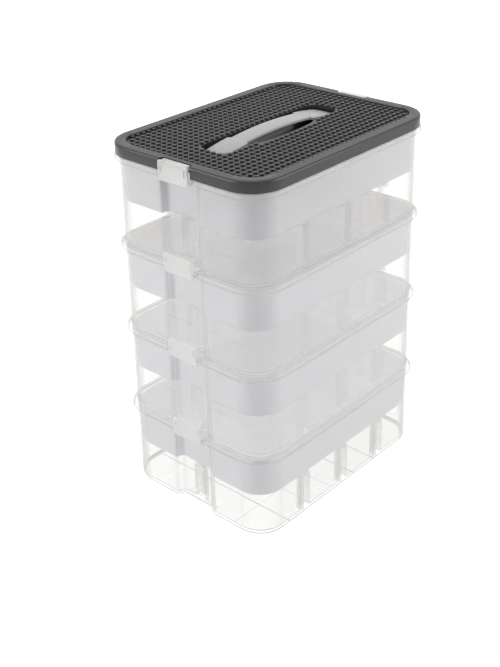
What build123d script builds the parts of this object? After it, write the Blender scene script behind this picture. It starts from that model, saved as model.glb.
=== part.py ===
"""Stacking storage box for toy bricks: four clear boxes, a tray in each, clip latches, a lid and its handle.

Millimetres. +Z is up, the origin is the middle of the footprint on the floor. The short sides, which carry
the latches, face -Y and +Y. The long sides face -X and +X.
"""

import os
from math import sqrt

from build123d import *

os.makedirs("parts", exist_ok=True)

# Overall sizes
overall_width = 225.0  # over the rims, along X
overall_length = 305.0  # over the closed latches, along Y
tier_pitch = 102.4  # from the base of one box to the base of the next
tier_names = ["bottom", "lower_middle", "upper_middle", "top"]

# Box shell
wall = 2.0
floor = 3.6  # from the underside of the foot
corner_radius = 34.0  # outside of the wall, seen from above
nest_depth = 2.0  # how far a foot sinks into the box below
nest_gap = 0.4  # sideways play of a foot in the box below

# Rim: a flange along the top edge, with a skirt that hangs from it
rim_overhang = 5.5
rim_height = 6.0
flange = 1.6
skirt = 1.6

# Posts moulded into the long walls: they stiffen the wall and carry the tray
post_width = 15.0
post_depth = 8.0
post_height = 52.0
post_pitch = 70.0
post_count = 3
post_wall = 2.0

# Clip channel down the middle of each short side
channel_depth = 8.5
channel_flare = 2.0  # how much further out each flank is at the mouth
channel_side = 3.0  # room beside the latch at the back of the channel

# Latch: a plate on a hinge rod, with a nose that grips a shelf of the piece above
latch_width = 42.0
latch_height = 22.0
latch_drop = 3.9  # how far the plate hangs below the rim
latch_plate = 2.2
latch_proud = 1.0  # how far the plate stands out beyond the rim
latch_side_gap = 0.5
latch_corner = 2.0
hinge_setback = 3.3  # from the face of the plate in to the hinge line
rod_radius = 1.3
rod_play = 0.05
rod_reach = 3.3  # how far the rod runs out of each side of the plate
lug = 3.0
lug_margin = 2.1  # material of the lug behind the rod
slit_width = 1.4
slit_height = 8.0
slit_from_edge = 4.3
nose_width = 36.0
nose_grip = 1.0  # how far the nose reaches over the shelf
nose_slope = 2.0  # rise of the gripping faces for each unit of depth
nose_play = 0.5  # height of the gap between the gripping faces
shelf_height = 10.0  # top of the shelf above the base of the piece it belongs to
shelf_thickness = 3.0
shelf_setback = 0.5  # from the wall's face in to the edge of the shelf

# Tray
tray_wall = 1.5
tray_gap = 0.6
tray_headroom = 0.4
tray_chamfer = 2.0

# Lid
lid_inset = 1.5  # the lid is this much smaller than the rim all round
lid_height = 12.6  # from the rim of the upper box to the lid's frame
lid_wall = 2.0
lid_chamfer = 1.2
lip_depth = 2.0  # how far the lid's lips reach into the upper box
frame_width = 12.5
field_depth = 2.8
notch_clearance = 1.3  # from the tip of the nose to the lid behind it
notch_side_gap = 1.5
notch_flare = 4.5
well_side_gap = 5.0  # from the ends of the handle to the sides of the well
well_end_gap = 3.0
well_corner = 14.0
well_depth = 9.0

# Handle: an arched strap whose tongues slide through the floor of the lid's well
handle_length = 188.0
strap_width = 22.0
paddle_width = 30.0
paddle_length = 42.0
paddle_corner = 9.0
handle_thickness = 3.4
handle_crown = 0.8  # how far the strap's top stands above the lid's frame
handle_seat = 0.4  # gap between the resting strap and the floor of the well
handle_travel = 8.0
tongue_width = 18.0
tongue_thickness = 3.0
tongue_from_end = 15.0
tongue_play = 0.4
toe_height = 2.0
toe_reach = 2.0

# Heights and distances worked out from the sizes above
stack_top = tier_pitch * len(tier_names)
wall_top = tier_pitch + nest_depth
rim_low = wall_top - rim_height
half_x = overall_width / 2 - rim_overhang
rim_y = overall_length / 2 - latch_proud
half_y = rim_y - rim_overhang
foot_inset = wall + nest_gap

channel_back = latch_width + 2 * channel_side
channel_mouth = channel_back + 2 * channel_flare
back_y = half_y - channel_depth
gap_half = latch_width / 2 + latch_side_gap

plate_y = rim_y + latch_proud
hinge_y = plate_y - hinge_setback
hinge_z = rim_low + rim_height / 2
latch_low = rim_low - latch_drop
latch_top = latch_low + latch_height
shelf_y = half_y - shelf_setback
nose_y = shelf_y - nose_grip
nose_rise = nose_grip * nose_slope


def footprint(inset):
    """Outline of a wall seen from above, moved in by inset, with the clip channels."""
    with BuildSketch() as outline:
        RectangleRounded(2 * half_x, 2 * half_y, corner_radius)
        for side in (-1, 1):
            with BuildLine():
                Polyline(
                    (-channel_mouth / 2, side * half_y),
                    (-channel_back / 2, side * back_y),
                    (channel_back / 2, side * back_y),
                    (channel_mouth / 2, side * half_y),
                    close=True,
                )
            make_face(mode=Mode.SUBTRACT)
        if inset:
            offset(amount=-inset, kind=Kind.INTERSECTION)
    return outline.sketch


def rounded_outline(grow):
    """The plain rounded rectangle of the wall, moved out by grow, without the channels."""
    with BuildSketch() as outline:
        RectangleRounded(2 * (half_x + grow), 2 * (half_y + grow), corner_radius + grow)
    return outline.sketch


def tapered_outline(inner_half, inner_y, outer_half, outer_y, side):
    """A symmetric trapezium between two distances from the middle, on the -Y or +Y side."""
    with BuildSketch() as outline:
        with BuildLine():
            Polyline(
                (-inner_half, side * inner_y),
                (-outer_half, side * outer_y),
                (outer_half, side * outer_y),
                (inner_half, side * inner_y),
                close=True,
            )
        make_face()
    return outline.sketch


def gripping_slopes(base, half_width):
    """Section of what the gripping slopes cut off both shelves of a piece whose base is at this height."""
    top = base + shelf_height
    with BuildSketch(Plane.YZ.offset(-half_width)) as sections:
        for side in (-1, 1):
            with BuildLine():
                Polyline(
                    (side * shelf_y, top - nose_rise),
                    (side * nose_y, top),
                    (side * shelf_y, top),
                    close=True,
                )
            make_face()
    return sections.sketch


# One box, with its base at zero
with BuildPart() as tier_box:
    with BuildSketch():
        add(footprint(foot_inset))
    extrude(amount=nest_depth)
    with BuildSketch(Plane.XY.offset(nest_depth)):
        add(footprint(0))
    extrude(amount=wall_top - nest_depth)
    with BuildSketch(Plane.XY.offset(floor)):
        add(footprint(wall))
    extrude(amount=wall_top - floor, mode=Mode.SUBTRACT)

    # Rim: flange and hanging skirt, open over the latches
    with BuildSketch(Plane.XY.offset(wall_top - flange)):
        add(rounded_outline(rim_overhang))
        add(footprint(wall / 2), mode=Mode.SUBTRACT)
    extrude(amount=flange)
    with BuildSketch(Plane.XY.offset(rim_low)):
        add(rounded_outline(rim_overhang))
        add(rounded_outline(rim_overhang - skirt), mode=Mode.SUBTRACT)
    extrude(amount=rim_height)
    with BuildSketch(Plane.XY.offset(rim_low)):
        with Locations((0, (rim_y + back_y) / 2), (0, -(rim_y + back_y) / 2)):
            Rectangle(2 * gap_half, rim_y - back_y)
    extrude(amount=rim_height, mode=Mode.SUBTRACT)

    # Lugs at both ends of each gap, with a square window where the latch's rod turns
    lug_inner_y = hinge_y - rod_radius - lug_margin
    window = 2 * (rod_radius + rod_play)
    with BuildSketch(Plane.XY.offset(rim_low)):
        with GridLocations(2 * gap_half + lug, rim_y + lug_inner_y, 2, 2):
            Rectangle(lug, rim_y - lug_inner_y)
    extrude(amount=rim_height)
    with BuildSketch(Plane.YZ):
        with Locations((hinge_y, hinge_z), (-hinge_y, hinge_z)):
            Rectangle(window, window)
    extrude(amount=gap_half + lug, both=True, mode=Mode.SUBTRACT)

    # Shelf across each channel, where the nose of the latch below takes hold
    shelf_half = channel_mouth / 2 - channel_flare * shelf_setback / channel_depth
    for side in (-1, 1):
        with BuildSketch(Plane.XY.offset(shelf_height - shelf_thickness)):
            add(tapered_outline(channel_back / 2, back_y, shelf_half, shelf_y, side))
        extrude(amount=shelf_thickness)
    extrude(gripping_slopes(0, channel_back / 2), amount=channel_back, mode=Mode.SUBTRACT)

    # Posts: boxed in on the inside, with an open groove on the outside
    post_inner_x = half_x - wall - post_depth
    groove_inner_x = post_inner_x + post_wall
    post_outer_x = half_x - wall / 2
    with BuildSketch(Plane.XY.offset(nest_depth)):
        for side in (-1, 1):
            with Locations((side * (post_inner_x + post_outer_x) / 2, 0)):
                with GridLocations(1, post_pitch, 1, post_count):
                    Rectangle(post_outer_x - post_inner_x, post_width)
    extrude(amount=post_height - nest_depth)
    with BuildSketch(Plane.XY.offset(nest_depth)):
        for side in (-1, 1):
            with Locations((side * (groove_inner_x + half_x) / 2, 0)):
                with GridLocations(1, post_pitch, 1, post_count):
                    Rectangle(half_x - groove_inner_x, post_width - 2 * post_wall)
    extrude(amount=post_height - post_wall - nest_depth, mode=Mode.SUBTRACT)

# One tray, standing on the posts of its box
tray_inset = wall + tray_gap
tray_top = tier_pitch - tray_headroom
with BuildPart() as tier_tray:
    with BuildSketch(Plane.XY.offset(post_height)):
        add(footprint(tray_inset))
    extrude(amount=tray_top - post_height)
    chamfer(faces().sort_by(Axis.Z)[0].outer_wire().edges(), tray_chamfer)
    with BuildSketch(Plane.XY.offset(post_height + tray_wall)):
        add(footprint(tray_inset + tray_wall))
    extrude(amount=tray_top - post_height - tray_wall, mode=Mode.SUBTRACT)

# One latch, closed, on the -Y side of the bottom box
shelf_top = tier_pitch + shelf_height
plate_inner_y = plate_y - latch_plate
with BuildPart() as tier_latch:
    with BuildSketch(Plane.XZ.offset(plate_y)):
        with Locations((0, latch_low + latch_height / 2)):
            Rectangle(latch_width, latch_height)
        chamfer(vertices().group_by(Axis.Y)[-1], latch_corner)
    extrude(amount=-latch_plate)

    # Nose: its sloping underside faces the slope of the shelf
    with BuildSketch(Plane.YZ):
        with BuildLine():
            Polyline(
                (-(plate_inner_y + latch_plate / 2), shelf_top - nose_rise + nose_play),
                (-shelf_y, shelf_top - nose_rise + nose_play),
                (-nose_y, shelf_top + nose_play),
                (-nose_y, latch_top),
                (-(plate_inner_y + latch_plate / 2), latch_top),
                close=True,
            )
        make_face()
    extrude(amount=nose_width / 2, both=True)

    # Hinge rod along the back of the plate, with its ends in the windows of the lugs
    with BuildSketch(Plane.YZ):
        with Locations((-hinge_y, hinge_z)):
            Circle(rod_radius)
    extrude(amount=latch_width / 2 + rod_reach, both=True)

    # Slits near both edges
    with BuildSketch(Plane.XZ.offset(plate_y)):
        with Locations((0, wall_top + slit_height / 2)):
            with GridLocations(latch_width - 2 * slit_from_edge, 1, 2, 1):
                Rectangle(slit_width, slit_height)
    extrude(amount=-latch_plate, mode=Mode.SUBTRACT)

# The lid, on the top box
lid_low = stack_top + nest_depth
lid_top = lid_low + lid_height
lid_grow = rim_overhang - lid_inset
deck_top = lid_top - field_depth
deck_low = deck_top - lid_wall
well_floor = deck_top - well_depth
well_low = well_floor - lid_wall
well_width = paddle_width + 2 * well_side_gap
well_length = handle_length + 2 * well_end_gap
riser_y = nose_y - notch_clearance
lid_y = half_y + lid_grow
notch_half = nose_width / 2 + notch_side_gap
with BuildPart() as lid:
    with BuildSketch(Plane.XY.offset(lid_low)):
        add(rounded_outline(lid_grow))
    extrude(amount=lid_top - lid_low)
    chamfer(faces().sort_by(Axis.Z)[-1].outer_wire().edges(), lid_chamfer)
    with BuildSketch(Plane.XY.offset(lid_low)):
        add(rounded_outline(lid_grow - lid_wall))
    extrude(amount=deck_low - lid_low, mode=Mode.SUBTRACT)
    with BuildSketch(Plane.XY.offset(deck_top)):
        add(rounded_outline(lid_grow - frame_width))
    extrude(amount=field_depth, mode=Mode.SUBTRACT)

    # Straight lips that seat inside the walls of the top box
    long_lip_x = half_x - foot_inset - lid_wall / 2
    end_lip_y = half_y - foot_inset - lid_wall / 2
    end_lip_inner = channel_mouth / 2 + foot_inset
    end_lip_outer = half_x - corner_radius
    with BuildSketch(Plane.XY.offset(lid_low - lip_depth)):
        with GridLocations(2 * long_lip_x, 1, 2, 1):
            Rectangle(lid_wall, 2 * (half_y - corner_radius))
        with GridLocations(end_lip_inner + end_lip_outer, 2 * end_lip_y, 2, 2):
            Rectangle(end_lip_outer - end_lip_inner, lid_wall)
    extrude(amount=deck_low + lid_wall / 2 - lid_low + lip_depth)

    # Notch over each latch: a walled recess in the frame, with a shelf for the nose
    for side in (-1, 1):
        shelf_low = stack_top + shelf_height - shelf_thickness
        with BuildSketch(Plane.XY.offset(shelf_low)):
            add(
                tapered_outline(
                    notch_half + lid_wall,
                    riser_y - lid_wall,
                    notch_half + notch_flare + lid_wall,
                    lid_y - lid_wall / 2,
                    side,
                )
            )
        extrude(amount=deck_low + lid_wall / 2 - shelf_low)
        with BuildSketch(Plane.XY.offset(lid_low)):
            add(tapered_outline(notch_half, riser_y, notch_half + notch_flare, lid_y, side))
        extrude(amount=lid_top - lid_low, mode=Mode.SUBTRACT)
        with BuildSketch(Plane.XY.offset(shelf_low)):
            add(tapered_outline(notch_half, riser_y - lid_wall / 2, notch_half, shelf_y, side))
        extrude(amount=shelf_thickness)
    extrude(gripping_slopes(stack_top, notch_half), amount=2 * notch_half, mode=Mode.SUBTRACT)

    # Well for the handle, with a slot for each tongue
    with BuildSketch(Plane.XY.offset(well_low)):
        Rectangle(well_width + 2 * lid_wall, well_length + 2 * lid_wall)
    extrude(amount=deck_low + lid_wall / 2 - well_low)
    with BuildSketch(Plane.XY.offset(well_floor)):
        RectangleRounded(well_width, well_length, well_corner)
    extrude(amount=deck_top - well_floor, mode=Mode.SUBTRACT)
    tongue_pitch = handle_length - 2 * tongue_from_end
    with BuildSketch(Plane.XY.offset(well_low)):
        with GridLocations(1, tongue_pitch, 1, 2):
            Rectangle(tongue_width + 2 * tongue_play, tongue_thickness + 2 * tongue_play)
    extrude(amount=lid_wall, mode=Mode.SUBTRACT)

# The handle, lying in its well
crown_z = lid_top + handle_crown
end_z = well_floor + handle_seat + handle_thickness
arch_height = crown_z - end_z
arch_radius = (handle_length**2 / 4 + arch_height**2) / (2 * arch_height)
tongue_top = crown_z - arch_radius + sqrt(arch_radius**2 - tongue_pitch**2 / 4) - handle_thickness / 2
with BuildPart() as carry_handle:
    with BuildSketch(Plane.XY.offset(well_floor)):
        Rectangle(strap_width, handle_length - paddle_length)
        with GridLocations(1, handle_length - paddle_length, 1, 2):
            RectangleRounded(paddle_width, paddle_length, paddle_corner)
    extrude(amount=crown_z + handle_thickness - well_floor)
    with BuildSketch(Plane.YZ):
        with Locations((0, crown_z - arch_radius)):
            Circle(arch_radius)
            Circle(arch_radius - handle_thickness, mode=Mode.SUBTRACT)
    extrude(amount=paddle_width, both=True, mode=Mode.INTERSECT)

    # Tongues with toes that stop under the lid
    toe_top = well_low - handle_travel
    with BuildSketch(Plane.XY.offset(toe_top)):
        with GridLocations(1, tongue_pitch, 1, 2):
            Rectangle(tongue_width, tongue_thickness)
    extrude(amount=tongue_top - toe_top)
    with BuildSketch(Plane.XY.offset(toe_top - toe_height)):
        with GridLocations(1, tongue_pitch, 1, 2):
            Rectangle(tongue_width, tongue_thickness + 2 * toe_reach)
    extrude(amount=toe_height)


def save(solid, name):
    """Give a finished piece its name and write it out."""
    solid.label = name
    export_step(solid, f"parts/{name}.step")


rear_latch = mirror(tier_latch.part, about=Plane.XZ)
for tier, tier_name in enumerate(tier_names):
    place = Location((0, 0, tier * tier_pitch))
    save(tier_box.part.moved(place), f"{tier_name}_box")
    save(tier_tray.part.moved(place), f"{tier_name}_tray")
    save(tier_latch.part.moved(place), f"front_{tier_name}_latch")
    save(rear_latch.moved(place), f"rear_{tier_name}_latch")
save(lid.part, "lid")
save(carry_handle.part, "carry_handle")
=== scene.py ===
"""Looks of a stacking storage box for toy bricks: four clear boxes, milky trays, clip latches, a lid and its strap.

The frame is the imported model's: +Z is up, the short sides with the latches face -Y and +Y. Shapes are worked out
in millimetres, and make_object turns them into metres.
"""
from math import atan2, cos, pi, radians, sin, sqrt

import bmesh
import bpy
from mathutils import Matrix, Vector


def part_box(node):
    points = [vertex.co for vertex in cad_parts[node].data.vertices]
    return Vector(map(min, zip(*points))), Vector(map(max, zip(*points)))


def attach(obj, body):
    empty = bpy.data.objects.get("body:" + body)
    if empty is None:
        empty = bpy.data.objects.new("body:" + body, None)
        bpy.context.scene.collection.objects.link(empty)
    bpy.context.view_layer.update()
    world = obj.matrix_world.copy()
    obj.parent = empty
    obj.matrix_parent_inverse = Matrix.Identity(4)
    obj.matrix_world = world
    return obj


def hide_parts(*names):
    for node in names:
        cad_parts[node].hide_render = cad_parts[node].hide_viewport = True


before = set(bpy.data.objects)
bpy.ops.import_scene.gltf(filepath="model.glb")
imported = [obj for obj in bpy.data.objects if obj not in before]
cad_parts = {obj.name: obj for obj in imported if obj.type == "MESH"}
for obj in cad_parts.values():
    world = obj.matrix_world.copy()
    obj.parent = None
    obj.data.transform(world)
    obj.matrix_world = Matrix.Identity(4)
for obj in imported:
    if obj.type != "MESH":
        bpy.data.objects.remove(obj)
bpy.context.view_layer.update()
mm = 0.001


def node_box(node):
    """Lowest and highest corner of a CAD node, in millimetres."""
    low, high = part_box(node)
    return low / mm, high / mm


# Sizes that the frame gives
tiers = ["bottom", "lower_middle", "upper_middle", "top"]
box_low, box_high = node_box("bottom_box")
tray_low, tray_high = node_box("bottom_tray")
lid_box_low, lid_box_high = node_box("lid")
latch_low, latch_high = node_box("front_bottom_latch")
strap_low, strap_high = node_box("carry_handle")
tier_pitch = node_box("lower_middle_box")[0].z - box_low.z
wall_top = box_high.z
lid_top = lid_box_high.z
stack_top = tier_pitch * len(tiers)

# Clear box
wall = 2.0
floor_top = 3.6
corner_radius = 34.0
nest_depth = 2.0
foot_inset = 2.4
rim_overhang = 5.5
rim_height = 6.0
flange = 1.6
half_x = box_high.x - rim_overhang
half_y = box_high.y - rim_overhang
rim_low = wall_top - rim_height
channel_depth = 8.5
channel_back = 24.0
channel_mouth = 26.0
mouth_radius = 4.5
back_radius = 2.0
back_y = half_y - channel_depth
gap_half = 21.5
lug = 3.0
lug_inner_y = 145.8
hinge_y = 149.2
hinge_z = rim_low + rim_height / 2
window = 2.7
shelf_top = 10.0
shelf_thickness = 3.0
shelf_y = half_y - 0.5
nose_y = shelf_y - 1.0
nose_rise = 2.0
post_pitch = 70.0
post_width = 15.0
post_inner_x = half_x - wall - 8.0
post_top = 52.0
post_wall = 2.0
end_post_reach = wall + 8.0
rib_width = 0.9
rib_height = 0.5
ribs_x = (-60, -20, 20, 60)
ribs_y = (-100, -60, -20, 20, 60, 100)

# Tray
tray_inset = wall + 0.6
tray_wall = 1.5
tray_base_round = 2.6

# Latch
plate_y = -latch_low.y
plate_thickness = 2.2
plate_width = 42.0
plate_low = latch_low.z
plate_top = latch_high.z
slit_width = 1.4
slit_height = 8.0
slit_from_edge = 4.3
nose_width = 36.0
rod_radius = 1.3

# Lid
lid_low = wall_top + tier_pitch * (len(tiers) - 1)
lid_wall = 2.0
lid_grow = lid_box_high.x - half_x
frame_width = 12.5
deck_top = lid_top - 2.8
deck_low = deck_top - lid_wall
riser_y = 143.2
notch_half = 19.5
notch_flare = 4.5
lid_y = half_y + lid_grow
well_floor = deck_top - 9.0
well_half_x = 20.0
well_half_y = 97.0
well_corner = 14.0
scoop_half_y = 50.0
scoop_x = 26.5
stud_pitch = 8.0
stud_radius = 2.45
stud_height = 1.8
stud_columns = 12
stud_rows = 17

# Strap
strap_half_y = strap_high.y
strap_half_x = 11.0
paddle_half_x = strap_high.x
paddle_length = 42.0
paddle_corner = 9.0
strap_thickness = 3.4
crown_z = strap_high.z
strap_end_z = well_floor + 0.4 + strap_thickness
tongue_y = 79.0
tongue_width = 18.0
tongue_thickness = 3.0
toe_reach = 2.0
toe_height = 1.9
toe_low = strap_low.z

least_radius = 0.2


def plan(corners, inset=0.0):
    """A rounded polygon moved in by inset, counter-clockwise. Each corner is x, y, radius and arc steps."""
    points = []
    for index, (x, y, radius, steps) in enumerate(corners):
        here = Vector((x, y))
        into = (here - Vector(corners[index - 1][:2])).normalized()
        out = (Vector(corners[(index + 1) % len(corners)][:2]) - here).normalized()
        turn = atan2(into.x * out.y - into.y * out.x, into.dot(out))
        left_in = Vector((-into.y, into.x))
        left_out = Vector((-out.y, out.x))
        mitre = (left_in + left_out) / (1 + left_in.dot(left_out))
        bend = 1 if turn > 0 else -1
        bow = max(radius - bend * inset, least_radius) if steps else 0
        centre = here + mitre * (inset + bend * bow)
        for step in range(steps + 1):
            arm = Matrix.Rotation(turn * step / max(steps, 1), 2) @ (-left_in * bend * bow)
            points.append(centre + arm)
    return points


def rectangle(width, length, radius, steps=6, x=0.0, y=0.0):
    """Corners of a rounded rectangle about a centre."""
    signs = ((1, -1), (1, 1), (-1, 1), (-1, -1))
    return [(x + sx * width / 2, y + sy * length / 2, radius, steps) for sx, sy in signs]


def rounded_side(low, high, edge, steps=3):
    """Insets and heights up a side whose lower and upper edges are rounded."""
    turns = [step / steps * pi / 2 for step in range(steps + 1)]
    arc = [(edge * (1 - sin(turn)), edge * (1 - cos(turn))) for turn in turns]
    return [(i, low + rise) for i, rise in arc] + [(i, high - rise) for i, rise in reversed(arc)]


def skin(rings):
    """A closed mesh over rings with equal counts, with a face over the first and the last."""
    mesh = bmesh.new()
    rows = [[mesh.verts.new(point) for point in ring] for ring in rings]
    for lower, upper in zip(rows, rows[1:]):
        for a, b, c, d in zip(lower, lower[1:] + lower[:1], upper[1:] + upper[:1], upper):
            mesh.faces.new((a, b, c, d))
    mesh.faces.new(rows[0][::-1])
    mesh.faces.new(rows[-1])
    bmesh.ops.recalc_face_normals(mesh, faces=mesh.faces)
    return mesh


def make_object(mesh, name="part"):
    """An object in metres from a bmesh in millimetres."""
    data = bpy.data.meshes.new(name)
    mesh.to_mesh(data)
    mesh.free()
    data.transform(Matrix.Scale(mm, 4))
    made = bpy.data.objects.new(name, data)
    bpy.context.scene.collection.objects.link(made)
    return made


def shell(corners, profile, turn=Matrix.Identity(4)):
    """A solid whose outline at each (inset, height) of the profile is the polygon moved in by inset."""
    rings = [[turn @ Vector((p.x, p.y, z)) for p in plan(corners, inset)] for inset, z in profile]
    return make_object(skin(rings))


def block(low, high, edge=0.4, steps=2):
    """A cuboid with rounded edges."""
    middle = ((low[0] + high[0]) / 2, (low[1] + high[1]) / 2)
    corners = rectangle(high[0] - low[0], high[1] - low[1], edge, steps, *middle)
    return shell(corners, rounded_side(low[2], high[2], edge, steps))


def upright(corners, low, high, edge=0.0):
    """A plain or edge-rounded prism between two heights."""
    return shell(corners, rounded_side(low, high, edge, 3) if edge else [(0, low), (0, high)])


# Turns a plan in x and z to a prism along -y, and a plan in y and z to a prism along x
facing_front = Matrix.Rotation(radians(90), 4, "X")
along_x = Matrix(((0, 0, 1, 0), (1, 0, 0, 0), (0, 1, 0, 0), (0, 0, 0, 1)))


def combine(base, others, operation):
    """Adds others to base, or cuts them from it, as one clean mesh."""
    group = bpy.data.collections.new("tools")
    bpy.context.scene.collection.children.link(group)
    for other in others:
        group.objects.link(other)
    change = base.modifiers.new("combine", "BOOLEAN")
    change.operation = operation
    change.operand_type = "COLLECTION"
    change.collection = group
    change.solver = "EXACT"
    bpy.context.view_layer.update()
    done = bpy.data.meshes.new_from_object(base.evaluated_get(bpy.context.evaluated_depsgraph_get()))
    base.modifiers.clear()
    base.data = done
    for other in others:
        bpy.data.objects.remove(other)
    bpy.data.collections.remove(group)
    return base


def soften(piece, angle=35, large=500.0):
    """Smooth shading that keeps edges sharper than the angle, and large faces plane."""
    piece.data.shade_smooth()
    piece.data.set_sharp_from_angle(angle=radians(angle))
    for face in piece.data.polygons:
        if face.area / mm**2 > large:
            face.use_smooth = False
    return piece


def mirrored(piece, x=1, y=1):
    """A copy of a piece mirrored in x or y."""
    mesh = bmesh.new()
    mesh.from_mesh(piece.data)
    bmesh.ops.scale(mesh, vec=(x / mm, y / mm, 1 / mm), verts=mesh.verts)
    bmesh.ops.recalc_face_normals(mesh, faces=mesh.faces)
    return make_object(mesh)


def wall_corners(arc_steps=14):
    """The wall seen from above, with the clip channel of each short side."""
    near = [
        (-channel_mouth, -half_y, mouth_radius, 5),
        (-channel_back, -back_y, back_radius, 4),
        (channel_back, -back_y, back_radius, 4),
        (channel_mouth, -half_y, mouth_radius, 5),
        (half_x, -half_y, corner_radius, arc_steps),
        (half_x, half_y, corner_radius, arc_steps),
    ]
    return near + [(-x, -y, radius, steps) for x, y, radius, steps in near]


def tapered(inner_half, inner_y, outer_half, outer_y, radius=0.0, steps=0):
    """Corners of a symmetric trapezium on the -Y side."""
    return [
        (-outer_half, -outer_y, radius, steps),
        (outer_half, -outer_y, radius, steps),
        (inner_half, -inner_y, radius, steps),
        (-inner_half, -inner_y, radius, steps),
    ]


# Clear box: walls, floor and foot
def box_shell():
    edge = 0.5
    inner = wall + 2.6
    outside = [
        (foot_inset + edge, 0),
        (foot_inset + 0.15, 0.15),
        (foot_inset, edge),
        (foot_inset, nest_depth - 0.2),
        (foot_inset - 0.3, nest_depth),
        (1.1, nest_depth + 0.1),
        (0.4, nest_depth + 0.5),
        (0, nest_depth + 1.4),
    ]
    top = [
        (0, wall_top - edge),
        (0.15, wall_top - 0.15),
        (edge, wall_top),
        (wall - edge, wall_top),
        (wall - 0.15, wall_top - 0.15),
        (wall, wall_top - edge),
    ]
    inside = [
        (wall, floor_top + 2.6),
        (wall + 0.3, floor_top + 1.3),
        (wall + 1.2, floor_top + 0.35),
        (inner, floor_top),
    ]
    return shell(wall_corners(), outside + top + inside)


# Rim: a curl round each half of the box, from one latch gap to the other
def half_rim():
    curl = [
        (-1.0, wall_top - flange),
        (2.9, wall_top - flange),
        (3.6, wall_top - 1.9),
        (3.9, wall_top - 2.6),
        (3.9, rim_low + 0.5),
        (4.1, rim_low + 0.1),
        (4.5, rim_low),
        (5.1, rim_low + 0.2),
        (5.5, rim_low + 0.9),
        (5.5, rim_low + 3.0),
        (5.3, wall_top - 1.7),
        (4.7, wall_top - 0.7),
        (3.8, wall_top - 0.15),
        (2.8, wall_top),
        (-1.0, wall_top),
    ]
    corners = [
        (gap_half, -half_y, 0, 0),
        (half_x, -half_y, corner_radius, 16),
        (half_x, half_y, corner_radius, 16),
        (gap_half, half_y, 0, 0),
    ]
    paths = [plan(corners, -grow) for grow, height in curl]
    for path in paths:
        path[0].x = path[-1].x = gap_half
    stations = range(len(paths[0]))
    rings = [[(path[k].x, path[k].y, z) for path, (grow, z) in zip(paths, curl)] for k in stations]
    return make_object(skin(rings))


def both_ends(make):
    """A part made for the -Y side, and its mirror image on the +Y side."""
    part = make()
    return [part, mirrored(part, y=-1)]


def four_corners(make):
    """A part made for +X and -Y, with its mirror images."""
    parts = both_ends(make)
    return parts + [mirrored(part, x=-1) for part in parts]


def channel_ledge():
    return block((gap_half, -half_y - 1, wall_top - flange), (channel_back + 2, -back_y + 1, wall_top), 0.3)


def lug_block():
    return block((gap_half, -half_y - rim_overhang, rim_low), (gap_half + lug, -lug_inner_y, wall_top), 0.4)


def lug_window():
    reach = gap_half + lug
    corners = rectangle(window, window, 0, 0, -hinge_y, hinge_z)
    return shell(corners, [(0, -reach), (0, reach)], along_x)


def box_shelf():
    corners = [
        (-shelf_y, shelf_top - shelf_thickness, 0.3, 2),
        (-back_y + 1, shelf_top - shelf_thickness, 0.3, 2),
        (-back_y + 1, shelf_top, 0.3, 2),
        (-nose_y, shelf_top, 0.3, 2),
        (-shelf_y, shelf_top - nose_rise, 0.3, 2),
    ]
    return shell(corners, [(0, -channel_mouth + 1.0), (0, channel_mouth - 1.0)], along_x)


def post(y):
    low = (post_inner_x, y - post_width / 2, floor_top - 1)
    return block(low, (half_x - wall / 2, y + post_width / 2, post_top), 1.0, 3)


def post_groove(y):
    half = post_width / 2 - post_wall
    low = (post_inner_x + post_wall, y - half, floor_top)
    return block(low, (half_x + 2, y + half, post_top - post_wall), 0.5)


def end_post():
    """The post behind a channel."""
    half = post_width / 2
    return block((-half, -back_y + wall / 2, floor_top - 1), (half, -back_y + end_post_reach, post_top), 1.0, 3)


def end_post_groove():
    half = post_width / 2 - post_wall
    high = (half, -back_y + end_post_reach - post_wall, post_top - post_wall)
    return block((-half, -back_y - 0.4, shelf_top + 1), high, 0.5)


def floor_ribs():
    low = floor_top - 1
    high = floor_top + rib_height
    lengthwise = []
    for x in ribs_x:
        reach = back_y - wall / 2 if abs(x) < channel_back else half_y - wall / 2
        lengthwise.append(block((x - rib_width / 2, -reach, low), (x + rib_width / 2, reach, high), 0.2))
    reach = half_x - wall / 2
    return lengthwise, [
        block((-reach, y - rib_width / 2, low), (reach, y + rib_width / 2, high), 0.2) for y in ribs_y
    ]


def build_box():
    """The clear box of the bottom tier."""
    base = box_shell()
    rim = half_rim()
    post_places = (-post_pitch, 0, post_pitch)
    posts = [post(y) for y in post_places]
    grooves = [post_groove(y) for y in post_places]
    lengthwise, across = floor_ribs()
    combine(base, [rim, mirrored(rim, x=-1)], "UNION")
    combine(base, four_corners(channel_ledge) + posts + [mirrored(p, x=-1) for p in posts], "UNION")
    combine(base, both_ends(end_post), "UNION")
    combine(base, four_corners(lug_block) + both_ends(box_shelf) + lengthwise, "UNION")
    combine(base, across, "UNION")
    combine(base, both_ends(lug_window) + grooves + [mirrored(g, x=-1) for g in grooves], "DIFFERENCE")
    combine(base, both_ends(end_post_groove), "DIFFERENCE")
    return base


# Tray: an open dish with rounded lower edges
def build_tray():
    low = tray_low.z
    high = tray_high.z
    edge = 0.35
    turns = [step / 4 * pi / 2 for step in range(5)]
    inner_round = tray_base_round - 0.6
    outside = [
        (tray_inset + tray_base_round * (1 - sin(turn)), low + tray_base_round * (1 - cos(turn)))
        for turn in turns
    ]
    top = [
        (tray_inset, high - edge),
        (tray_inset + edge, high),
        (tray_inset + tray_wall - edge, high),
        (tray_inset + tray_wall, high - edge),
    ]
    inner_inset = tray_inset + tray_wall
    inner_low = low + tray_wall
    inside = [
        (inner_inset + inner_round * (1 - cos(turn)), inner_low + inner_round * (1 - sin(turn)))
        for turn in turns
    ]
    return shell(wall_corners(), outside + top + inside)


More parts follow.
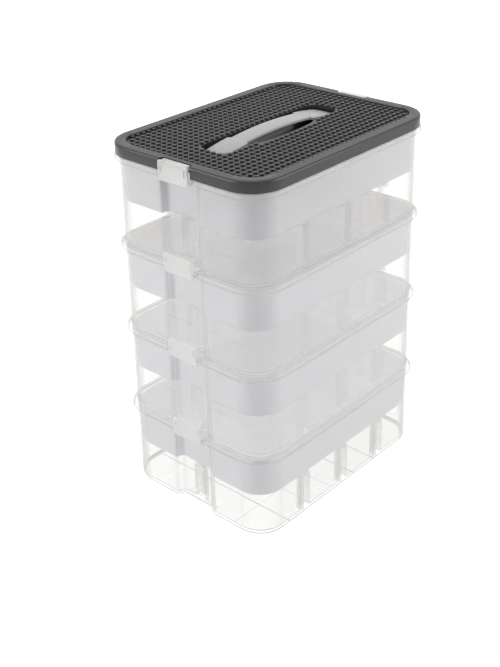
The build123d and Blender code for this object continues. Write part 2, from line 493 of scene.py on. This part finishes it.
# Latch: a plate with rounded edges and two slits, a nose and a hinge rod
def build_latch():
    middle_z = (plate_low + plate_top) / 2
    corners = rectangle(plate_width, plate_top - plate_low, 2.0, 4, 0, middle_z)
    plate = shell(corners, rounded_side(plate_y - plate_thickness, plate_y, 0.6), facing_front)
    low = tier_pitch + shelf_top - nose_rise + 0.5
    root = plate_y - plate_thickness / 2
    nose_corners = [
        (-root, low, 0.3, 2),
        (-shelf_y, low, 0.3, 2),
        (-nose_y, low + nose_rise, 0.3, 2),
        (-nose_y, plate_top, 0.4, 2),
        (-root, plate_top, 0.4, 2),
    ]
    nose = shell(nose_corners, rounded_side(-nose_width / 2, nose_width / 2, 0.4, 2), along_x)
    reach = latch_high.x
    round_corners = rectangle(2 * rod_radius, 2 * rod_radius, rod_radius, 6, -hinge_y, hinge_z)
    rod = shell(round_corners, rounded_side(-reach, reach, 0.3, 2), along_x)
    slit_x = plate_width / 2 - slit_from_edge
    slits = []
    for x in (-slit_x, slit_x):
        outline = rectangle(slit_width, slit_height, 0.4, 3, x, wall_top + slit_height / 2)
        slits.append(shell(outline, [(0, plate_y - plate_thickness - 1), (0, plate_y + 1)], facing_front))
    combine(plate, [nose, rod], "UNION")
    combine(plate, slits, "DIFFERENCE")
    return plate


# Lid: frame, sunken deck, notches over the latches, well and studs
def lid_shell():
    corners = rectangle(2 * (half_x + lid_grow), 2 * lid_y, corner_radius + lid_grow, 18)
    outside = [
        (0.5, lid_low),
        (0.15, lid_low + 0.15),
        (0, lid_low + 0.5),
        (0, lid_top - 2.2),
        (0.2, lid_top - 1.3),
        (0.7, lid_top - 0.5),
        (1.4, lid_top - 0.1),
        (2.2, lid_top),
    ]
    rim = [
        (frame_width - 0.7, lid_top),
        (frame_width - 0.2, lid_top - 0.2),
        (frame_width, lid_top - 0.7),
        (frame_width, deck_top + 0.4),
        (frame_width + 0.4, deck_top),
        (frame_width + 6, deck_top),
    ]
    under = [
        (frame_width + 6, deck_low),
        (lid_wall + 0.6, deck_low),
        (lid_wall, deck_low - 0.6),
        (lid_wall, lid_low + 0.3),
        (lid_wall - 0.3, lid_low),
    ]
    rings = [[(p.x, p.y, z) for p in plan(corners, inset)] for inset, z in outside + rim]
    rings_under = [[(p.x, p.y, z) for p in plan(corners, inset)] for inset, z in under]
    mesh = bmesh.new()
    top_rows = [[mesh.verts.new(point) for point in ring] for ring in rings]
    under_rows = [[mesh.verts.new(point) for point in ring] for ring in rings_under]
    rows = under_rows + top_rows
    for lower, upper in zip(rows, rows[1:]):
        for a, b, c, d in zip(lower, lower[1:] + lower[:1], upper[1:] + upper[:1], upper):
            mesh.faces.new((a, b, c, d))
    mesh.faces.new(under_rows[0][::-1])
    mesh.faces.new(top_rows[-1])
    bmesh.ops.recalc_face_normals(mesh, faces=mesh.faces)
    return make_object(mesh)


def notch_walls():
    walls = tapered(notch_half + lid_wall, riser_y - lid_wall, notch_half + notch_flare + lid_wall, lid_y - 1)
    low = stack_top + shelf_top - shelf_thickness
    return upright(walls, low, deck_low + lid_wall / 2)


def notch_void():
    corners = tapered(notch_half, riser_y, notch_half + notch_flare, lid_y + 2)
    corners = [(x, y, 1.0 if abs(y) < lid_y else 0, 3 if abs(y) < lid_y else 0) for x, y, r, s in corners]
    return upright(corners, lid_low - 2, lid_top + 1)


def notch_shelf():
    top = stack_top + shelf_top
    corners = [
        (-shelf_y, top - shelf_thickness, 0.2, 2),
        (-riser_y + 1, top - shelf_thickness, 0.2, 2),
        (-riser_y + 1, top, 0.2, 2),
        (-nose_y, top, 0.2, 2),
        (-shelf_y, top - nose_rise, 0.2, 2),
    ]
    return shell(corners, [(0, -notch_half - 1), (0, notch_half + 1)], along_x)


def lid_lips():
    x = half_x - foot_inset - lid_wall / 2
    y = half_y - foot_inset - lid_wall / 2
    low = lid_box_low.z if lid_box_low.z > lid_low - 3 else lid_low - 2
    high = deck_low + lid_wall / 2
    run = half_y - corner_radius
    inner = channel_mouth + foot_inset
    outer = half_x - corner_radius
    lips = [block((side * x - 1, -run, low), (side * x + 1, run, high), 0.3) for side in (-1, 1)]
    for sx in (-1, 1):
        for sy in (-1, 1):
            ends = sorted((sx * inner, sx * outer))
            lips.append(block((ends[0], sy * y - 1, low), (ends[1], sy * y + 1, high), 0.3))
    return lips


def scoop():
    """Finger room beside the strap: a dish whose bottom rises from the well to the deck."""
    stations = 24
    rings = []
    for k in range(stations + 1):
        share = 2 * k / stations - 1
        y = share * scoop_half_y
        bulge = sqrt(max(1 - share * share, 0.0))
        edge = well_half_x - 1 + (scoop_x - well_half_x + 1) * bulge
        low = deck_top - 0.3 - 5.5 * bulge
        rings.append(
            [
                (well_half_x - 4, y, low - 2.0 * bulge),
                (well_half_x - 1, y, low),
                ((well_half_x - 1) * 0.45 + edge * 0.55, y, deck_top - 0.2 - 2.6 * bulge),
                (edge, y, deck_top),
                (edge + 0.8, y, deck_top + 1),
                (well_half_x - 4, y, deck_top + 1),
            ]
        )
    return make_object(skin(rings))


def stud_places():
    """Centres of the studs: a full grid but for the corners, the well and the scoop."""
    places = []
    for column in range(-stud_columns, stud_columns + 1):
        for row in range(-stud_rows, stud_rows):
            x = column * stud_pitch
            y = (row + 0.5) * stud_pitch
            from_end = stud_rows * stud_pitch - stud_pitch / 2 - abs(y)
            if abs(x) > 80 + from_end:
                continue
            beside_well = abs(x) < well_half_x + 3 and abs(y) < well_half_y + 3
            in_scoop = 0 < x < well_half_x + 5 and abs(y) < scoop_half_y
            if not beside_well and not in_scoop:
                places.append((x, y))
    return places


def add_studs(piece):
    sides = 16
    top = deck_top + stud_height
    profile = [
        (stud_radius, deck_top - 0.4),
        (stud_radius, top - 0.4),
        (stud_radius - 0.12, top - 0.12),
        (stud_radius - 0.4, top),
    ]
    mesh = bmesh.new()
    mesh.from_mesh(piece.data)
    bmesh.ops.scale(mesh, vec=(1 / mm,) * 3, verts=mesh.verts)
    angles = [2 * pi * side / sides for side in range(sides)]
    for x, y in stud_places():
        rows = [[mesh.verts.new((x + r * cos(a), y + r * sin(a), z)) for a in angles] for r, z in profile]
        for lower, upper in zip(rows, rows[1:]):
            for a, b, c, d in zip(lower, lower[1:] + lower[:1], upper[1:] + upper[:1], upper):
                mesh.faces.new((a, b, c, d))
        mesh.faces.new(rows[0][::-1])
        mesh.faces.new(rows[-1])
    bpy.data.objects.remove(piece)
    return make_object(mesh)


def build_lid():
    base = lid_shell()
    well_box = rectangle(2 * (well_half_x + lid_wall), 2 * (well_half_y + lid_wall), well_corner + lid_wall, 8)
    well_void = rectangle(2 * well_half_x, 2 * well_half_y, well_corner, 8)
    slot = rectangle(tongue_width + 0.8, tongue_thickness + 0.8, 0.3, 2, 0, -tongue_y)
    combine(base, both_ends(notch_walls) + lid_lips(), "UNION")
    combine(base, [upright(well_box, well_floor - lid_wall, deck_low + 1)], "UNION")
    voids = both_ends(notch_void) + both_ends(lambda: upright(slot, well_floor - 3, well_floor + 1))
    combine(base, voids, "DIFFERENCE")
    combine(base, [upright(well_void, well_floor, deck_top + 4)], "DIFFERENCE")
    combine(base, [scoop()], "DIFFERENCE")
    combine(base, both_ends(notch_shelf), "UNION")
    return add_studs(base)


# Strap: an arched band with wider ends, and a tongue with toes under each end
def strap_half_width(y):
    from_end = strap_half_y - abs(y)
    if from_end < paddle_corner:
        return paddle_half_x - paddle_corner + sqrt(paddle_corner**2 - (paddle_corner - from_end) ** 2)
    shoulder = 3.0
    if from_end < paddle_length - shoulder:
        return paddle_half_x
    share = min((from_end - paddle_length + shoulder) / shoulder, 1.0)
    return paddle_half_x + (strap_half_x - paddle_half_x) * (3 - 2 * share) * share * share


def strap_band():
    rise = crown_z - strap_end_z
    arch = (strap_half_y**2 + rise**2) / (2 * rise)
    ends = [strap_half_y - paddle_corner * (1 - cos(step / 8 * pi / 2)) for step in range(8)]
    shoulder = [strap_half_y - paddle_length + 3 - 0.5 * step for step in range(7)]
    plain = [50 - 5 * step for step in range(10)]
    forward = ends + [strap_half_y - paddle_corner, 75, 65] + shoulder + [y for y in plain if y < shoulder[-1]]
    stations = [-y for y in forward] + [0] + forward[::-1]
    edge = 0.9
    rings = []
    for y in stations:
        half = strap_half_width(y)
        top = crown_z - arch + sqrt(arch**2 - y**2)
        corners = rectangle(2 * half, strap_thickness, edge, 3, 0, top - strap_thickness / 2)
        rings.append([(p.x, y, p.y) for p in plan(corners)])
    return make_object(skin(rings))


def tongue():
    top = strap_end_z + 1.0
    half = tongue_width / 2
    return block((-half, -tongue_y - 1.5, toe_low), (half, -tongue_y + 1.5, top), 0.3)


def toes():
    half = tongue_width / 2
    reach = 1.5 + toe_reach
    return block((-half, -tongue_y - reach, toe_low), (half, -tongue_y + reach, toe_low + toe_height), 0.4)


def build_strap():
    band = strap_band()
    combine(band, both_ends(tongue), "UNION")
    combine(band, both_ends(toes), "UNION")
    return band


# Materials
def srgb(red, green, blue):
    """A colour of eight-bit levels as linear values."""
    levels = [level / 255 for level in (red, green, blue)]
    return tuple(v / 12.92 if v <= 0.04045 else ((v + 0.055) / 1.055) ** 2.4 for v in levels) + (1,)


def plastic(
    name,
    colour,
    roughness,
    grain,
    bump,
    face=1.0,
    edge=1.0,
    lets_light=0.0,
    power=2.5,
    rim_colour=None,
    shine=0.5,
    lets_bounce=1.0,
):
    """Moulded plastic with faint mottling, uneven gloss and flow ripples.

    A see-through one has the alpha face when seen square on, and the alpha edge and its rim_colour at a glancing
    angle; the rim colour is painted shade, a grey standing in for the darkening that refraction gives clear plastic
    at its edges. It passes on the share lets_light of the light that falls on it.
    """
    made = bpy.data.materials.new(name)
    made.use_nodes = True
    nodes = made.node_tree.nodes
    link = made.node_tree.links.new
    surface = nodes["Principled BSDF"]
    place = nodes.new("ShaderNodeTexCoord")
    mottle = nodes.new("ShaderNodeTexNoise")
    mottle.inputs["Scale"].default_value = 28
    mottle.inputs["Detail"].default_value = 4
    link(place.outputs["Object"], mottle.inputs["Vector"])
    tint = nodes.new("ShaderNodeMix")
    tint.data_type = "RGBA"
    tint.inputs["A"].default_value = tuple(v * 0.96 for v in colour[:3]) + (1,)
    tint.inputs["B"].default_value = tuple(min(v * 1.03, 1) for v in colour[:3]) + (1,)
    link(mottle.outputs["Fac"], tint.inputs["Factor"])
    link(tint.outputs["Result"], surface.inputs["Base Color"])
    gloss = nodes.new("ShaderNodeMapRange")
    gloss.inputs["To Min"].default_value = roughness * 0.85
    gloss.inputs["To Max"].default_value = roughness * 1.15
    link(mottle.outputs["Fac"], gloss.inputs["Value"])
    link(gloss.outputs["Result"], surface.inputs["Roughness"])
    texture = nodes.new("ShaderNodeTexNoise")
    texture.inputs["Scale"].default_value = grain
    texture.inputs["Detail"].default_value = 3
    link(place.outputs["Object"], texture.inputs["Vector"])
    ripple = nodes.new("ShaderNodeBump")
    ripple.inputs["Strength"].default_value = bump
    ripple.inputs["Distance"].default_value = 0.0004
    link(texture.outputs["Fac"], ripple.inputs["Height"])
    link(ripple.outputs["Normal"], surface.inputs["Normal"])
    surface.inputs["IOR"].default_value = 1.47
    surface.inputs["Specular IOR Level"].default_value = shine
    if face < 1:
        glance = nodes.new("ShaderNodeLayerWeight")
        glance.inputs["Blend"].default_value = 0.5
        curve = nodes.new("ShaderNodeMath")
        curve.operation = "POWER"
        curve.inputs[1].default_value = power
        link(glance.outputs["Facing"], curve.inputs[0])
        steep = nodes.new("ShaderNodeMath")
        steep.operation = "POWER"
        steep.inputs[1].default_value = 3.0
        link(curve.outputs["Value"], steep.inputs[0])
        # Painted shade: a grey taken in at glancing angles, for the darkening that refraction gives.
        rim = nodes.new("ShaderNodeMix")
        rim.data_type = "RGBA"
        rim.inputs["B"].default_value = rim_colour or colour
        link(steep.outputs["Value"], rim.inputs["Factor"])
        link(tint.outputs["Result"], rim.inputs["A"])
        link(rim.outputs["Result"], surface.inputs["Base Color"])
        cover = nodes.new("ShaderNodeMapRange")
        cover.inputs["To Min"].default_value = face
        cover.inputs["To Max"].default_value = edge
        link(curve.outputs["Value"], cover.inputs["Value"])
        link(cover.outputs["Result"], surface.inputs["Alpha"])
        rays = nodes.new("ShaderNodeLightPath")
        scattered = nodes.new("ShaderNodeMath")
        scattered.operation = "MAXIMUM"
        bounced = nodes.new("ShaderNodeMath")
        bounced.operation = "MULTIPLY"
        bounced.inputs[1].default_value = lets_bounce
        link(rays.outputs["Is Diffuse Ray"], bounced.inputs[0])
        link(rays.outputs["Is Shadow Ray"], scattered.inputs[0])
        link(bounced.outputs["Value"], scattered.inputs[1])
        passing = nodes.new("ShaderNodeMath")
        passing.operation = "MULTIPLY"
        passing.inputs[1].default_value = lets_light
        link(scattered.outputs["Value"], passing.inputs[0])
        clear = nodes.new("ShaderNodeBsdfTransparent")
        mix = nodes.new("ShaderNodeMixShader")
        link(passing.outputs["Value"], mix.inputs["Fac"])
        link(surface.outputs["BSDF"], mix.inputs[1])
        link(clear.outputs["BSDF"], mix.inputs[2])
        link(mix.outputs["Shader"], nodes["Material Output"].inputs["Surface"])
    return made


def clear(name, colour, face, edge, power, grey, shine):
    """One look of the clear plastic: its haze seen square on and at a glancing angle, how fast it rises, and grey,
    the painted shade it takes at a glancing angle.
    """
    return plastic(name, colour, 0.14, 40, 0.05, face, edge, 0.97, power, srgb(grey, grey, grey), shine)


clear_plastic = clear("clear_plastic", srgb(223, 222, 217), 0.1, 0.85, 2.5, 110, 0.1)
# These three looks carry painted shade: darker, denser haze for the lines that refraction and shade draw on edges,
# posts, ribs and the rim.
clear_edge_shade = clear("clear_edge_shade", srgb(190, 189, 184), 0.62, 0.9, 2.0, 150, 0.1)
clear_double_shade = clear("clear_double_shade", srgb(217, 216, 211), 0.27, 0.85, 2.2, 150, 0.1)
clear_rim_shade = clear("clear_rim_shade", srgb(212, 211, 208), 0.15, 0.95, 2.2, 90, 0.3)
milky_plastic = plastic(
    "milky_plastic", srgb(220, 219, 224), 0.38, 60, 0.08, face=0.5, edge=0.9, lets_light=0.95, lets_bounce=0.15
)
latch_plastic = plastic("latch_plastic", srgb(228, 227, 225), 0.25, 60, 0.06, face=0.6, edge=0.9, lets_light=0.85)
lid_plastic = plastic("lid_plastic", srgb(34, 35, 35), 0.3, 900, 0.12, shine=0.57)
strap_plastic = plastic("strap_plastic", srgb(178, 175, 179), 0.36, 900, 0.08)


def dress(piece, name, node, material):
    """Names a piece, gives it its material and lets it ride with its node, which it replaces."""
    piece.name = name
    piece.data.name = name
    piece.data.materials.clear()
    piece.data.materials.append(material)
    soften(piece)
    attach(piece, node)
    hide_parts(node)


def paint_edge_shade(piece, on_white, widest=1.4):
    """Paints shade on rounded edges, posts, ribs and the rim: they get darker, denser clear looks that stand in for
    the grey lines refraction draws on them, and the rim's lower lip gets a painted shadow line. Other faces keep
    the plain one.

    The painted shade on posts, ribs and edges goes only on a box with nothing milky under it; the real thickness of
    posts and ribs is modelled as well.
    """
    for material in (clear_edge_shade, clear_double_shade, clear_rim_shade):
        piece.data.materials.append(material)
    for face in piece.data.polygons:
        corners = [piece.data.vertices[index].co / mm for index in face.vertices]
        longest = max((a - b).length for a, b in zip(corners, corners[1:] + corners[:1]))
        widths = [max(corner[k] for corner in corners) - min(corner[k] for corner in corners) for k in (0, 1)]
        x, y, z = (abs(value) / mm for value in face.center)
        narrow = face.area / mm**2 < longest * widest
        low = z < post_top + 0.2
        near_post = widths[1] < post_width + 1 and min(y, abs(y - post_pitch)) < post_width / 2 + 0.2
        at_post = near_post and post_inner_x - 0.2 < x < half_x - 0.1 and low
        at_end_post = widths[0] < post_width + 1 and x < post_width / 2 + 0.2
        at_end_post = at_end_post and -0.2 < back_y - y < end_post_reach + 0.2 and low and z > floor_top + 0.3
        on_floor = nest_depth < z < floor_top + 1 and max(x - half_x, y - half_y) < -wall - 3
        outward = max(x - half_x, y - half_y)
        curled = z > rim_low - 0.3 and outward > -wall - 0.2 or z > wall_top - flange - 0.2
        at_mouth = abs(x - channel_back) < mouth_radius + 3 and y > back_y - wall - back_radius
        # Painted shade: the rim's lower lip gets the dark edge look as a shadow line, and posts, ribs and narrow
        # rounded faces get darker, denser looks.
        if curled:
            face.material_index = 1 if z < rim_low + 0.7 and outward > 3.5 else 3
        elif on_floor:
            face.material_index = 2 if narrow and on_white else 0
        elif on_white and (at_post or at_end_post):
            face.material_index = 2
        elif narrow:
            face.material_index = 3 if at_mouth or not on_white else 1


def raised(data, tier):
    """A new object with this mesh, on its tier."""
    made = bpy.data.objects.new("part", data)
    made.location.z = tier * tier_pitch * mm
    bpy.context.scene.collection.objects.link(made)
    return made


box_part = build_box()
tray_part = build_tray()
front_latch = build_latch()
rear_latch = mirrored(front_latch, y=-1)
patterns = (
    (box_part, "{}_box", "clear_box", clear_plastic),
    (tray_part, "{}_tray", "tray_plastic", milky_plastic),
    (front_latch, "front_{}_latch", "latch_plastic", latch_plastic),
    (rear_latch, "rear_{}_latch", "latch_plastic", latch_plastic),
)
for pattern, node_name, slot, material in patterns:
    for tier, tier_name in enumerate(tiers):
        node = node_name.format(tier_name)
        piece = raised(pattern.data.copy(), tier)
        dress(piece, node + "_look", node, material)
        # The clear boxes get painted shade on their edges, posts, ribs and rim.
        if material is clear_plastic:
            paint_edge_shade(piece, tier == 0)
    bpy.data.objects.remove(pattern)
dress(build_lid(), "lid_look", "lid", lid_plastic)
dress(build_strap(), "carry_handle_look", "carry_handle", strap_plastic)


def showing(nodes, link):
    """1 for the rays that show the background: seen directly, in a reflection or through glass."""
    rays = nodes.new("ShaderNodeLightPath")
    seen = rays.outputs["Is Camera Ray"]
    for name in ("Is Glossy Ray", "Is Transmission Ray"):
        either = nodes.new("ShaderNodeMath")
        either.operation = "MAXIMUM"
        link(seen, either.inputs[0])
        link(rays.outputs[name], either.inputs[1])
        seen = either.outputs["Value"]
    return seen


# Floor: white, and it keeps a soft shadow
def white_floor():
    size = 6.0
    mesh = bmesh.new()
    bmesh.ops.create_grid(mesh, x_segments=1, y_segments=1, size=size / 2 / mm)
    piece = make_object(mesh, "studio_floor")
    material = bpy.data.materials.new("studio_floor")
    material.use_nodes = True
    nodes = material.node_tree.nodes
    link = material.node_tree.links.new
    surface = nodes["Principled BSDF"]
    surface.inputs["Base Color"].default_value = (0.6, 0.6, 0.6, 1)
    surface.inputs["Roughness"].default_value = 0.9
    surface.inputs["Specular IOR Level"].default_value = 0.0
    seen = showing(nodes, link)
    glow = nodes.new("ShaderNodeMath")
    glow.operation = "MULTIPLY"
    glow.inputs[1].default_value = 0.74
    link(seen, glow.inputs[0])
    link(glow.outputs["Value"], surface.inputs["Emission Strength"])
    surface.inputs["Emission Color"].default_value = (1, 1, 1, 1)
    piece.data.materials.append(material)
    piece.location.z = -0.0002


def studio_world():
    world = bpy.data.worlds.new("studio")
    bpy.context.scene.world = world
    world.use_nodes = True
    nodes = world.node_tree.nodes
    link = world.node_tree.links.new
    background = nodes["Background"]
    background.inputs["Color"].default_value = (1, 1, 1, 1)
    seen = showing(nodes, link)
    level = nodes.new("ShaderNodeMapRange")
    level.inputs["To Min"].default_value = ambient
    level.inputs["To Max"].default_value = 1.0
    link(seen, level.inputs["Value"])
    link(level.outputs["Result"], background.inputs["Strength"])


def softbox(name, azimuth, elevation, distance, size, power):
    """A square lamp that faces the middle of the object. Azimuth 0 is on the -Y side, and 90 on the +X side."""
    lamp = bpy.data.lights.new(name, "AREA")
    lamp.size = size
    lamp.energy = power
    made = bpy.data.objects.new(name, lamp)
    a = radians(azimuth)
    e = radians(elevation)
    back = Vector((sin(a) * cos(e), -cos(a) * cos(e), sin(e)))
    made.location = Vector((0, 0, 0.2)) + back * distance
    made.rotation_euler = back.to_track_quat("Z", "Y").to_euler()
    bpy.context.scene.collection.objects.link(made)
    return made


ambient = 0.53
white_floor()
studio_world()
softbox("left_softbox", -30, 22, 1.8, 1.1, 14)
softbox("right_softbox", 118, 22, 1.8, 1.1, 14)
fill = softbox("rear_softbox", 222, 22, 1.8, 1.1, 14)
fill.visible_glossy = False
softbox("top_softbox", 40, 80, 1.8, 1.2, 3)

# Camera, fitted to the corners of the rims, lid and base
camera_azimuth = radians(42.36)
camera_elevation = radians(26.0)
camera_roll = radians(-1.46)
camera_distance = 1.3191
aim_height = 0.2125
aside = -0.0272
down = 0.0225
image_height = 667
focal_pixels = 1127.7
shift_pixels = -53.5
back = Vector(
    (
        sin(camera_azimuth) * cos(camera_elevation),
        -cos(camera_azimuth) * cos(camera_elevation),
        sin(camera_elevation),
    )
)
right = Vector((cos(camera_azimuth), sin(camera_azimuth), 0))
up = back.cross(right)
camera = bpy.data.objects.new("camera", bpy.data.cameras.new("camera"))
camera.data.sensor_fit = "VERTICAL"
camera.data.sensor_height = 36
camera.data.lens = focal_pixels * camera.data.sensor_height / image_height
camera.data.shift_y = shift_pixels / image_height
turned = Matrix((right, up, back)).transposed().to_4x4() @ Matrix.Rotation(camera_roll, 4, "Z")
place = Vector((0, 0, aim_height)) + back * camera_distance + right * aside + up * down
camera.matrix_world = Matrix.Translation(place) @ turned
bpy.context.scene.collection.objects.link(camera)
bpy.context.scene.camera = camera
bpy.context.scene.view_settings.view_transform = "Standard"
bpy.context.scene.cycles.transparent_max_bounces = 48
